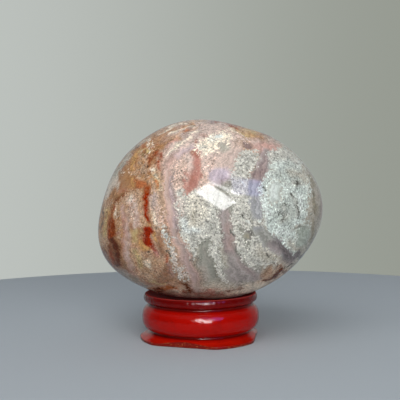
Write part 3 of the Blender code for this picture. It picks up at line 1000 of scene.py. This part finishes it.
def grains(tree, place, size_mm):
    """Give each grain of a real size three random numbers from 0 to 1."""
    cells = add(tree, "ShaderNodeTexVoronoi", Vector=place, Scale=1 / size_mm)
    return add(tree, "ShaderNodeSeparateColor", Color=cells.outputs["Color"]).outputs


def weigh(tree, start, chance, weights):
    """Add chance numbers, each times its own weight, to a starting value."""
    total = start
    for name, weight in weights.items():
        total = calc(tree, "MULTIPLY_ADD", chance[name], weight, total)
    return total


def shade(tree, colour, tone):
    """Lighten or darken a colour by a tone."""
    return blend_colours(tree, 1.0, colour, tone, "MULTIPLY")


def painted_cover(tree, place, name):
    """Turn a painted distance into a cover with a ragged edge."""
    grain_mm, stray_mm, soft_mm = EDGES_MM[name]
    return place_group(tree, ragged_edge, Place=place, Distance=read(tree, name), Grain_Size=grain_mm,
                       Stray=stray_mm, Softness=soft_mm)


def chance_numbers(tree, place):
    """Give every number that varies over the stone, by name."""
    crystals = grains(tree, place, CRYSTAL_MM)
    sugar = grains(tree, place, SUGAR_MM)
    return {
        "speck": cloud(tree, place, SPECK_MM),
        "patchy": cloud(tree, place, CLOUD_MM),
        "crystal": calc(tree, "SUBTRACT", crystals[0], 0.5),
        "sugar": calc(tree, "SUBTRACT", sugar[1], 0.5),
        "gap": calc(tree, "LESS_THAN", crystals[1], GAP_SHARE),
        "flash": calc(tree, "GREATER_THAN", crystals[1], FLASH_LEVEL),
        "fringe": rise(tree, read(tree, "druse_mm"), *FRINGE_MM),
    }


def mottle_of(tree, chance):
    """Give the tone of the smooth ground: fine layers, and grains that fade in the calm bands."""
    count_along = calc(tree, "MULTIPLY_ADD", chance["patchy"], LINE_BEND, read(tree, "layers"))
    lines = add(tree, "ShaderNodeTexNoise", {"noise_dimensions": "1D"}, Scale=LINES_PER_BAND,
                Detail=LINE_DETAIL, Roughness=LINE_ROUGHNESS, W=count_along).outputs[0]
    uneven = weigh(tree, 0.0, chance, GROUND_WEIGHTS)
    rough_part = rise(tree, read(tree, "calm_mm"), *CALM_EDGE_MM)
    amount = calc(tree, "MULTIPLY_ADD", rough_part, ROUGH_MOTTLE, CALM_MOTTLE)
    return calc(tree, "MULTIPLY_ADD", uneven, amount, calc(tree, "ADD", lines, GROUND_TONE))


def make_stone_material():
    """Lay druse, dust, stain, gaps and painted glints over the smooth ground, under one polish."""
    material, tree, shader = new_material("polished_ocean_jasper")
    place = place_group(tree, millimetres)
    chance = chance_numbers(tree, place)
    mottle = mottle_of(tree, chance)
    colour = shade(tree, read(tree, "ground", "Color"), mottle)

    facets = calc(tree, "MULTIPLY", weigh(tree, CRYSTAL_TONE, chance, CRYSTAL_WEIGHTS),
                  weigh(tree, 1.0, chance, SINGLE_WEIGHTS))
    druse = shade(tree, read(tree, "crystal", "Color"), facets)
    colour = blend_colours(tree, painted_cover(tree, place, "druse_mm"), colour, druse)

    hue = rise(tree, cloud(tree, place, HUE_MM), *HUE_LEVELS)
    dust_colour = shade(tree, blend_colours(tree, hue, PALETTE["amber"], PALETTE["rust"]), mottle)
    dust = calc(tree, "MULTIPLY", rise(tree, cloud(tree, place, DUST_MM, DUST_DETAIL), *DUST_LEVELS),
                read(tree, "iron_dust"))
    colour = blend_colours(tree, calc(tree, "MULTIPLY", dust, DUST_STRENGTH), colour, dust_colour)

    iron = shade(tree, read(tree, "stain", "Color"), mottle)
    # sparkle_mm lays the painted glints in white, as painted highlights
    for name, over, strength in (("stain_mm", iron, 1.0), ("dark_mm", PALETTE["char"], DOT_STRENGTH),
                                 ("sparkle_mm", PALETTE["snow"], DOT_STRENGTH)):
        cover = calc(tree, "MULTIPLY", painted_cover(tree, place, name), strength)
        colour = blend_colours(tree, cover, colour, over)

    feed_all(tree, shader, Base_Color=colour, Roughness=STONE_ROUGHNESS, IOR=STONE_IOR,
             Subsurface_Weight=STONE_DEPTH_GLOW, Subsurface_Radius=GLOW_REACH_MM, Subsurface_Scale=MM)
    return material


stone.data.materials.append(make_stone_material())
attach(stone, "root")
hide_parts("stone")
print("stone dressed")

# %% [markdown]
# ## The stand's profile
# The stand was turned on a lathe, so one line of points gives all of it but the foot plate, which was then
# sawn flat on four sides. Each point of the profile also carries how much it follows the sawn outline, how
# deep it lies in a recess, where the lacquer is painted darker, partly for pooled lacquer and partly as
# painted shade, and whether it lies on the plate's sawn edge, where the lacquer is thin and chipped.

# %% Stand profile
DISH = {"radius": 15.0, "rim": 12.1, "floor": 9.2, "steps": 24}
BEAD = {"middle": (14.9, 11.4), "half": (1.22, 1.2), "start": 66, "end": -62, "steps": 22, "fullness": 2.3}
GROOVE = {"middle": (15.2, 9.75), "half": (0.35, 0.35), "start": 120, "end": 240, "steps": 8, "fullness": 2.0}
BELLY = {"middle": (14.0, 6.0), "half": (2.58, 3.35), "start": 64, "end": -76, "steps": 34, "fullness": 2.3}
NECK = {"middle": (14.45, 2.35), "half": (0.4, 0.4), "start": 130, "end": 230, "steps": 8, "fullness": 2.0}
PLATE_RADIUS_MM = 17.2
PLATE_EDGE_MM = 0.75
COVE_RADIUS_MM = 14.4
COVE_TOP_MM = 1.85
COVE_POWER = 2.2
COVE_STEPS = 14
EDGE_ROUND_MM = 0.2
ROUND_STEPS = 5
UNDERSIDE_STEPS = 10
LIP_STEPS = 4  # how many points of the bead, from the dish, are as dull as the dish
DULL_RECESS = 1.3
PLATE_FLATS = ((10.0, 15.8), (107.5, 14.95), (197.0, 16.4), (287.0, 15.6))  # direction in degrees, distance
POINT_NUMBERS = ("follow", "hang", "slope", "recess", "sawn")


def bulge(middle, half, start, end, steps, fullness):
    """Turn from one angle to another round a swelling; a fullness over 2 is fuller than an ellipse."""
    points = []
    for step in range(steps + 1):
        angle = math.radians(start + (end - start) * step / steps)
        across = math.copysign(abs(math.cos(angle)) ** (2 / fullness), math.cos(angle))
        up = math.copysign(abs(math.sin(angle)) ** (2 / fullness), math.sin(angle))
        points.append((middle[0] + half[0] * across, middle[1] + half[1] * up))
    return points


def row(radius, height, follow=0.0, hang=0.0, slope=0.0, recess=0.0, sawn=0.0):
    """Describe a point: does it follow the sawn edge, hang from its top, or lie on the slope, and so on."""
    return radius, height, follow, hang, slope, recess, sawn


def turned_rows():
    """List the dish and the turned shapes, from the dish's middle down to the neck."""
    rows = []
    for step in range(DISH["steps"]):
        out = step / DISH["steps"]
        height = DISH["floor"] + (DISH["rim"] - DISH["floor"]) * out ** 2
        rows.append(row(DISH["radius"] * out, height, recess=DULL_RECESS))
    for part, recess in ((BEAD, 0.0), (GROOVE, 1.0), (BELLY, 0.0), (NECK, 1.0)):
        for number, (radius, height) in enumerate(bulge(**part)):
            dull = part is BEAD and number < LIP_STEPS
            rows.append(row(radius, height, recess=DULL_RECESS if dull else recess))
    return rows


def plate_rows():
    """List the foot plate: its slope, its rounded edge, and its underside."""
    rows = []
    inner = COVE_RADIUS_MM - EDGE_ROUND_MM
    for step in range(1, COVE_STEPS + 1):
        radius = COVE_RADIUS_MM - EDGE_ROUND_MM * step / COVE_STEPS
        rows.append(row(radius, 0.0, follow=step / COVE_STEPS, slope=1.0))
    for step in range(1, ROUND_STEPS + 1):
        angle = math.pi / 2 * step / ROUND_STEPS
        rows.append(row(inner + EDGE_ROUND_MM * math.sin(angle), EDGE_ROUND_MM * (math.cos(angle) - 1),
                        follow=1.0, hang=1.0, sawn=step / ROUND_STEPS))
    for step in range(ROUND_STEPS + 1):
        angle = math.pi / 2 * step / ROUND_STEPS
        rows.append(row(inner + EDGE_ROUND_MM * math.cos(angle), EDGE_ROUND_MM * (1 - math.sin(angle)),
                        follow=1.0, sawn=1.0))
    for step in range(1, UNDERSIDE_STEPS + 1):
        left = 1 - step / UNDERSIDE_STEPS
        rows.append(row(inner * left, 0.0, follow=left, sawn=1.0))
    return rows


def make_profile():
    """Make the profile as a line of mesh edges, with its extra numbers stored on the points."""
    rows = turned_rows() + plate_rows()
    mesh = bpy.data.meshes.new("turned_stand")
    edges = [(index, index + 1) for index in range(len(rows) - 1)]
    mesh.from_pydata([(point[0] * MM, 0.0, point[1] * MM) for point in rows], edges, [])
    for column, name in enumerate(POINT_NUMBERS, start=2):
        attribute = mesh.attributes.new(name, "FLOAT", "POINT")
        attribute.data.foreach_set("value", [point[column] for point in rows])
    return new_object("turned_stand", mesh)


stand = make_profile()
print("profile has", len(stand.data.vertices), "points")

# %% [markdown]
# ## The lathe
# A Screw modifier could spin the profile, but it couldn't saw the foot plate or ripple the lacquer. A
# Geometry Nodes tree does all three in one go. It lays out a flat grid, one way along the profile and the
# other way round the axis, and then sends each grid point to its place on the stand. The sawn outline is the
# smooth least of a circle and four straight lines, which rounds the corners as real sanding does.

# %% Lathe tree
TURNING_STEPS = 288
CORNER_SOFT_MM = 1.2
RIPPLE_DEPTH_MM = 0.05
RIPPLE_SIZE_MM = 2.6
RIPPLE_DETAIL = 1.0
RIPPLE_START_MM = 1.0  # the ripple fades out below this height, so that the foot stays flat
WELD_MM = 0.002
LEAST_FACING = 0.1  # keeps a flat's line at a finite distance where it runs away sideways

lathe_sizes = {
    "Plate Radius": PLATE_RADIUS_MM * MM, "Plate Edge": PLATE_EDGE_MM * MM,
    "Cove Radius": COVE_RADIUS_MM * MM, "Cove Rise": (COVE_TOP_MM - PLATE_EDGE_MM) * MM,
    "Cove Power": COVE_POWER, "Edge Round": EDGE_ROUND_MM * MM, "Corner Soft": CORNER_SOFT_MM * MM,
    "Ripple Depth": RIPPLE_DEPTH_MM * MM, "Ripple Size": RIPPLE_SIZE_MM * MM,
}
for number, (degrees, distance) in enumerate(PLATE_FLATS, start=1):
    lathe_sizes[f"Flat {number} Turn"] = math.radians(degrees)
    lathe_sizes[f"Flat {number} Distance"] = distance * MM


def start_lathe():
    """Start the tree with its named inputs, and give it with what comes out of them."""
    tree = bpy.data.node_groups.new("lathe", "GeometryNodeTree")
    tree.interface.new_socket("Geometry", in_out="OUTPUT", socket_type="NodeSocketGeometry")
    sockets = {"Geometry": "Geometry", **{name: "Float" for name in lathe_sizes}, "Turning Steps": "Int",
               "Material": "Material"}
    for name, kind in sockets.items():
        tree.interface.new_socket(name, in_out="INPUT", socket_type="NodeSocket" + kind)
    return tree, tree.nodes.new("NodeGroupInput").outputs


def sawn_outline(tree, given, angle):
    """Give the foot plate's reach in each direction: the least of its circle and its four flats."""
    outline = given["Plate Radius"]
    for number in range(1, len(PLATE_FLATS) + 1):
        facing = calc(tree, "COSINE", calc(tree, "ADD", angle, given[f"Flat {number} Turn"]))
        towards = calc(tree, "MAXIMUM", facing, LEAST_FACING)
        reach = calc(tree, "DIVIDE", given[f"Flat {number} Distance"], towards)
        outline = calc(tree, "SMOOTH_MIN", outline, reach, given["Corner Soft"])
    return outline


def slope_height(tree, given, radius):
    """Give the height of the foot plate's hollow slope at a radius."""
    inward = calc(tree, "DIVIDE", calc(tree, "SUBTRACT", given["Plate Radius"], radius),
                  calc(tree, "SUBTRACT", given["Plate Radius"], given["Cove Radius"]))
    rising = calc(tree, "POWER", calc(tree, "MAXIMUM", inward, 0.0), given["Cove Power"])
    return calc(tree, "MULTIPLY_ADD", rising, given["Cove Rise"], given["Plate Edge"])


def rippled(tree, given, here, geometry):
    """Push the lacquer in and out a little along its own facing, but not under the foot."""
    wave = noise_at(tree, here, calc(tree, "DIVIDE", 1.0, given["Ripple Size"]), RIPPLE_DETAIL)
    above = rise(tree, split(tree, here)["Z"], 0.0, RIPPLE_START_MM * MM)
    depth = calc(tree, "MULTIPLY", calc(tree, "MULTIPLY", calc(tree, "SUBTRACT", wave, 0.5), above),
                 calc(tree, "MULTIPLY", given["Ripple Depth"], FULL_PUSH))
    facing = add(tree, "GeometryNodeInputNormal").outputs[0]
    push = add(tree, "ShaderNodeVectorMath", {"operation": "SCALE"}, Vector=facing, Scale=depth).outputs[0]
    return add(tree, "GeometryNodeSetPosition", Geometry=geometry, Offset=push).outputs[0]


def lathe_tree():
    """Build the tree that turns, saws and lacquers the stand."""
    tree, given = start_lathe()
    profile = given["Geometry"]
    here = add(tree, "GeometryNodeInputPosition").outputs[0]
    rows = add(tree, "GeometryNodeAttributeDomainSize", Geometry=profile).outputs["Point Count"]
    grid = add(tree, "GeometryNodeMeshGrid", Size_X=1.0, Size_Y=1.0, Vertices_X=given["Turning Steps"],
               Vertices_Y=rows).outputs["Mesh"]
    spot = split(tree, here)
    angle = calc(tree, "MULTIPLY", calc(tree, "ADD", spot["X"], 0.5), 2 * math.pi)
    index = calc(tree, "ROUND", calc(tree, "MULTIPLY", calc(tree, "ADD", spot["Y"], 0.5),
                                     calc(tree, "SUBTRACT", rows, 1.0)))

    def from_profile(value, kind="FLOAT"):
        return add(tree, "GeometryNodeSampleIndex", {"data_type": kind}, Geometry=profile, Value=value,
                   Index=index).outputs[0]

    stored = {}
    for name in POINT_NUMBERS:
        kept = add(tree, "GeometryNodeInputNamedAttribute", {"data_type": "FLOAT"}, Name=name).outputs[0]
        stored[name] = from_profile(kept)
    turned = split(tree, from_profile(here, "FLOAT_VECTOR"))

    outline = sawn_outline(tree, given, angle)
    beyond = calc(tree, "SUBTRACT", outline, given["Cove Radius"])
    radius = calc(tree, "MULTIPLY_ADD", stored["follow"], beyond, turned["X"])
    edge_top = slope_height(tree, given, calc(tree, "SUBTRACT", outline, given["Edge Round"]))
    plain = calc(tree, "MULTIPLY_ADD", stored["hang"], edge_top, turned["Z"])
    height = calc(tree, "ADD", calc(tree, "MULTIPLY", stored["slope"], slope_height(tree, given, radius)),
                  calc(tree, "MULTIPLY", calc(tree, "SUBTRACT", 1.0, stored["slope"]), plain))

    marked = grid
    for name in ("recess", "sawn"):
        marked = add(tree, "GeometryNodeStoreNamedAttribute", {"data_type": "FLOAT", "domain": "POINT"},
                     Geometry=marked, Name=name, Value=stored[name]).outputs[0]
    target = add(tree, "ShaderNodeCombineXYZ", X=calc(tree, "MULTIPLY", radius, calc(tree, "COSINE", angle)),
                 Y=calc(tree, "MULTIPLY", radius, calc(tree, "SINE", angle)), Z=height).outputs[0]
    shaped = add(tree, "GeometryNodeSetPosition", Geometry=marked, Position=target).outputs[0]
    welded = add(tree, "GeometryNodeMergeByDistance", Geometry=shaped, Distance=WELD_MM * MM).outputs[0]
    smooth = add(tree, "GeometryNodeSetShadeSmooth", Geometry=rippled(tree, given, here, welded)).outputs[0]
    real = add(tree, "GeometryNodeRealizeInstances", Geometry=smooth).outputs[0]
    painted = add(tree, "GeometryNodeSetMaterial", Geometry=real, Material=given["Material"]).outputs[0]
    feed(tree, tree.nodes.new("NodeGroupOutput").inputs["Geometry"], painted)
    return tree


lathe = lathe_tree()
print("lathe tree has", len(lathe.nodes), "nodes")

# %% [markdown]
# ## Red lacquer
# Lacquer is a clear glossy skin over deep red paint. In the grooves it looks almost black, partly because it
# pools there and partly as painted shade in the recesses, and on the bead under the stone it is painted
# darker as shade. On the foot plate the red is brighter, and the sawn edge shows worn chips of bare wood. The
# dish is dull, because the gloss is rubbed off there. The brush left ripples, and they are deepest on the
# bead. A car paint with a coat would do too, but a coat mirrors the room twice and veils the red.

# %% Lacquer material
LACQUER_RED = linear(162, 10, 3)
LACQUER_BRIGHT = linear(176, 20, 5)
LACQUER_DEEP = linear(70, 6, 4)
LACQUER_SHADE = linear(98, 3, 2)
DISH_RED = linear(150, 24, 15)
SAWN_RED = linear(88, 16, 10)
WORN_WOOD = linear(176, 112, 62)
LACQUER_ROUGHNESS = 0.1
DULLNESS = 0.8
LACQUER_IOR = 1.29

# Heights between which the red turns brighter downwards, turns darker upwards as painted shade under the
# stone, mostly on the bead, and starts the bead's ripples
BRIGHT_BELOW_MM = (2.2, 1.0)
SHADE_ABOVE_MM = (8.6, 11.6)
BEAD_ABOVE_MM = (9.2, 10.4)
BARE_RECESS = (1.0, 1.2)

# Noises: swells for each millimetre, detail, and roughness where it isn't the usual half
UNEVEN_NOISE = (0.35, 4.0, 0.6)
CHIP_NOISE = (2.6, 2.0)
RIPPLE_NOISE = (1.3, 2.0)
UNEVEN_LEVELS = (0.45, 0.75)
CHIP_LEVELS = (0.6, 0.68)
UNEVEN_STRENGTH = 0.22
POOL_AND_SHADE_STRENGTH = 0.75
SAWN_STRENGTH = 0.8
CHIP_STRENGTH = 0.8
BEAD_RIPPLES = 2.0
BUMP_STRENGTH = 0.4
BUMP_MM = 0.2


def make_lacquer():
    """Make the lacquer: layers of red over each other, one gloss, and a brushed ripple."""
    material, tree, shader = new_material("glossy_red_lacquer")
    place = place_group(tree, millimetres)
    height = split(tree, place)["Z"]
    recess = read(tree, "recess")
    sawn = read(tree, "sawn")
    bare = rise(tree, recess, *BARE_RECESS)
    uneven = rise(tree, noise_at(tree, place, *UNEVEN_NOISE), *UNEVEN_LEVELS)
    chips = calc(tree, "MULTIPLY", rise(tree, noise_at(tree, place, *CHIP_NOISE), *CHIP_LEVELS), sawn)
    colour = LACQUER_RED
    for cover, over in ((rise(tree, height, *BRIGHT_BELOW_MM), LACQUER_BRIGHT),
                        # darker on the bead under the stone: painted shade
                        (rise(tree, height, *SHADE_ABOVE_MM), LACQUER_SHADE),
                        (calc(tree, "MULTIPLY", uneven, UNEVEN_STRENGTH), LACQUER_DEEP),
                        # darker in the grooves and the neck: partly pooled lacquer, partly painted shade
                        (calc(tree, "MULTIPLY", recess, POOL_AND_SHADE_STRENGTH), LACQUER_DEEP),
                        (bare, DISH_RED),
                        (calc(tree, "MULTIPLY", sawn, SAWN_STRENGTH), SAWN_RED),
                        (calc(tree, "MULTIPLY", chips, CHIP_STRENGTH), WORN_WOOD)):
        colour = blend_colours(tree, cover, colour, over)
    swell = calc(tree, "MULTIPLY_ADD", rise(tree, height, *BEAD_ABOVE_MM), BEAD_RIPPLES, 1.0)
    ripple = calc(tree, "MULTIPLY", noise_at(tree, place, *RIPPLE_NOISE), swell)
    bump = add(tree, "ShaderNodeBump", Strength=BUMP_STRENGTH, Distance=BUMP_MM * MM, Height=ripple)
    feed_all(tree, shader, Base_Color=colour, IOR=LACQUER_IOR, Normal=bump.outputs["Normal"],
             Roughness=calc(tree, "MULTIPLY_ADD", bare, DULLNESS, LACQUER_ROUGHNESS))
    return material


lacquer = make_lacquer()
print("lacquer has", len(lacquer.node_tree.nodes), "nodes")

# %% [markdown]
# ## Turn the stand
# The tree runs once, its result becomes a plain mesh, and the modifier goes. A grid sent round an axis may
# come out with its faces pointing in, so the normals are worked out again on the welded mesh.

# %% Turn the stand


def run_tree(thing, tree, values):
    """Run a tree on an object, keep the result as a plain mesh, and drop the modifier."""
    modifier = thing.modifiers.new(tree.name, "NODES")
    modifier.node_group = tree
    for socket in tree.interface.items_tree:
        if socket.in_out == "INPUT" and socket.name in values:
            modifier[socket.identifier] = values[socket.name]
    ready = thing.evaluated_get(bpy.context.evaluated_depsgraph_get())
    mesh = bpy.data.meshes.new_from_object(ready)
    thing.modifiers.remove(modifier)
    work = bmesh.new()
    work.from_mesh(mesh)
    bmesh.ops.recalc_face_normals(work, faces=work.faces)
    work.to_mesh(mesh)
    work.free()
    thing.data = mesh
    mesh.name = thing.name


run_tree(stand, lathe, {**lathe_sizes, "Turning Steps": TURNING_STEPS + 1, "Material": lacquer})
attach(stand, "root")
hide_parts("stand")
print("stand has", len(stand.data.polygons), "faces")

# %% [markdown]
# ## Floor
# The floor is a plain pale disc, wide enough to catch the whole shadow. It has no gloss at all, because a
# glossy floor glares when it is seen from behind, against the lamps.

# %% Floor
FLOOR_RADIUS_MM = 165.0
FLOOR_DROP_MM = 0.02
FLOOR_SIDES = 256
FLOOR_COLOUR = linear(181, 188, 193)
FLOOR_ROUGHNESS = 0.8
FLOOR_GLOSS = 0.0


def make_floor():
    """Make the disc, a hair under the foot."""
    mesh = bpy.data.meshes.new("floor")
    work = bmesh.new()
    bmesh.ops.create_circle(work, cap_ends=True, segments=FLOOR_SIDES, radius=FLOOR_RADIUS_MM * MM,
                            matrix=Matrix.Translation((0, 0, -FLOOR_DROP_MM * MM)))
    work.to_mesh(mesh)
    work.free()
    material, tree, shader = new_material("plain_pale_floor")
    feed_all(tree, shader, Base_Color=FLOOR_COLOUR, Roughness=FLOOR_ROUGHNESS, Specular_IOR_Level=FLOOR_GLOSS)
    mesh.materials.append(material)
    thing = new_object("floor", mesh)


make_floor()
print("floor is", 2 * FLOOR_RADIUS_MM, "mm across")

# %% [markdown]
# ## Sky
# The camera sees a plain wall, lighter on the left. What lights the stone and shows in its polish is another
# sky, a room that is dim in front and pale behind, because a stone that mirrors a bright front looks milky.

# %% Sky
WALL_LEFT = linear(190, 195, 191)
WALL_RIGHT = linear(150, 154, 145)
ROOM_FRONT = linear(44, 46, 50)
ROOM_BACK = linear(172, 176, 174)
ROOM_TOP = linear(150, 154, 160)

# Between which parts of a direction, from -1 to 1, one tone turns into the next
LEFT_TO_RIGHT = (-0.45, 0.4)
FRONT_TO_BACK = (-0.1, 0.85)
SIDE_TO_TOP = (0.3, 1.0)


def make_sky():
    """Show a plain wall to the camera, and light the object with a room that is dim in front."""
    world = bpy.data.worlds.new("soft_sky")
    world.use_nodes = True
    tree = world.node_tree
    way = split(tree, add(tree, "ShaderNodeTexCoord").outputs["Generated"])
    wall = blend_colours(tree, rise(tree, way["X"], *LEFT_TO_RIGHT), WALL_LEFT, WALL_RIGHT)
    room = blend_colours(tree, rise(tree, way["Y"], *FRONT_TO_BACK), ROOM_FRONT, ROOM_BACK)
    room = blend_colours(tree, rise(tree, way["Z"], *SIDE_TO_TOP), room, ROOM_TOP)
    seen = add(tree, "ShaderNodeLightPath").outputs["Is Camera Ray"]
    feed(tree, tree.nodes["Background"].inputs["Color"], blend_colours(tree, seen, room, wall))
    bpy.context.scene.world = world


make_sky()
print("world is", bpy.context.scene.world.name)

# %% [markdown]
# ## Panels of light
# Light that is seen in the polish and light that fills the colours are kept apart, because then each can be
# set alone. Four panels show only as reflections, the crisp slanted highlight among them, and two soft ones
# only fill.

# %% Panels of light
# Each panel: direction from the stone in degrees, right of the front and up, then size in mm, and so on
AIM_MM = (3.0, -24.0, 39.0)
PANELS = {
    "tall_panel": {"right": 5.4, "up": 16.4, "size": (345.0, 158.0), "turn": -47.0, "watts": 7.0},
    "thin_panel": {"right": 13.5, "up": 26.5, "size": (300.0, 30.0), "turn": -38.0, "watts": 0.75},
    "blue_panel": {"right": 35.0, "up": 27.0, "size": (270.0, 210.0), "turn": -12.0, "watts": 1.3,
                   "colour": (0.22, 0.23, 1.0)},
    "lilac_panel": {"right": 13.0, "up": 43.0, "size": (220.0, 150.0), "turn": -10.0, "watts": 0.35,
                    "colour": (0.3, 0.35, 1.0)},
    "soft_front": {"right": 13.0, "up": 11.0, "size": (400.0, 300.0), "watts": 2.5,
                   "colour": (1.0, 0.99, 0.97), "mirrored": False},
    "soft_top": {"right": -20.0, "up": 48.0, "away": 500.0, "size": (500.0, 400.0), "watts": 1.4,
                 "colour": (0.98, 0.99, 1.0), "mirrored": False},
}


def make_panel(name, right, up, size, watts, away=600.0, turn=0.0, colour=(1.0, 1.0, 1.0), mirrored=True):
    """Hang a rectangle of light that faces the stone, and shows in its gloss alone or not there at all."""
    data = bpy.data.lights.new(name, "AREA")
    data.shape = "RECTANGLE"
    data.size = size[0] * MM
    data.size_y = size[1] * MM
    data.energy = watts
    data.color = colour
    side = math.radians(right)
    lift = math.radians(up)
    way = Vector((math.sin(side) * math.cos(lift), -math.cos(side) * math.cos(lift), math.sin(lift)))
    facing = way.to_track_quat("Z", "Y").to_matrix().to_4x4() @ Matrix.Rotation(math.radians(turn), 4, "Z")
    panel = new_object(name, data)
    panel.matrix_world = Matrix.Translation((Vector(AIM_MM) + way * away) * MM) @ facing
    panel.visible_glossy = mirrored
    panel.visible_diffuse = not mirrored


for name, panel in PANELS.items():
    make_panel(name, **panel)
print("panels:", ", ".join(PANELS))
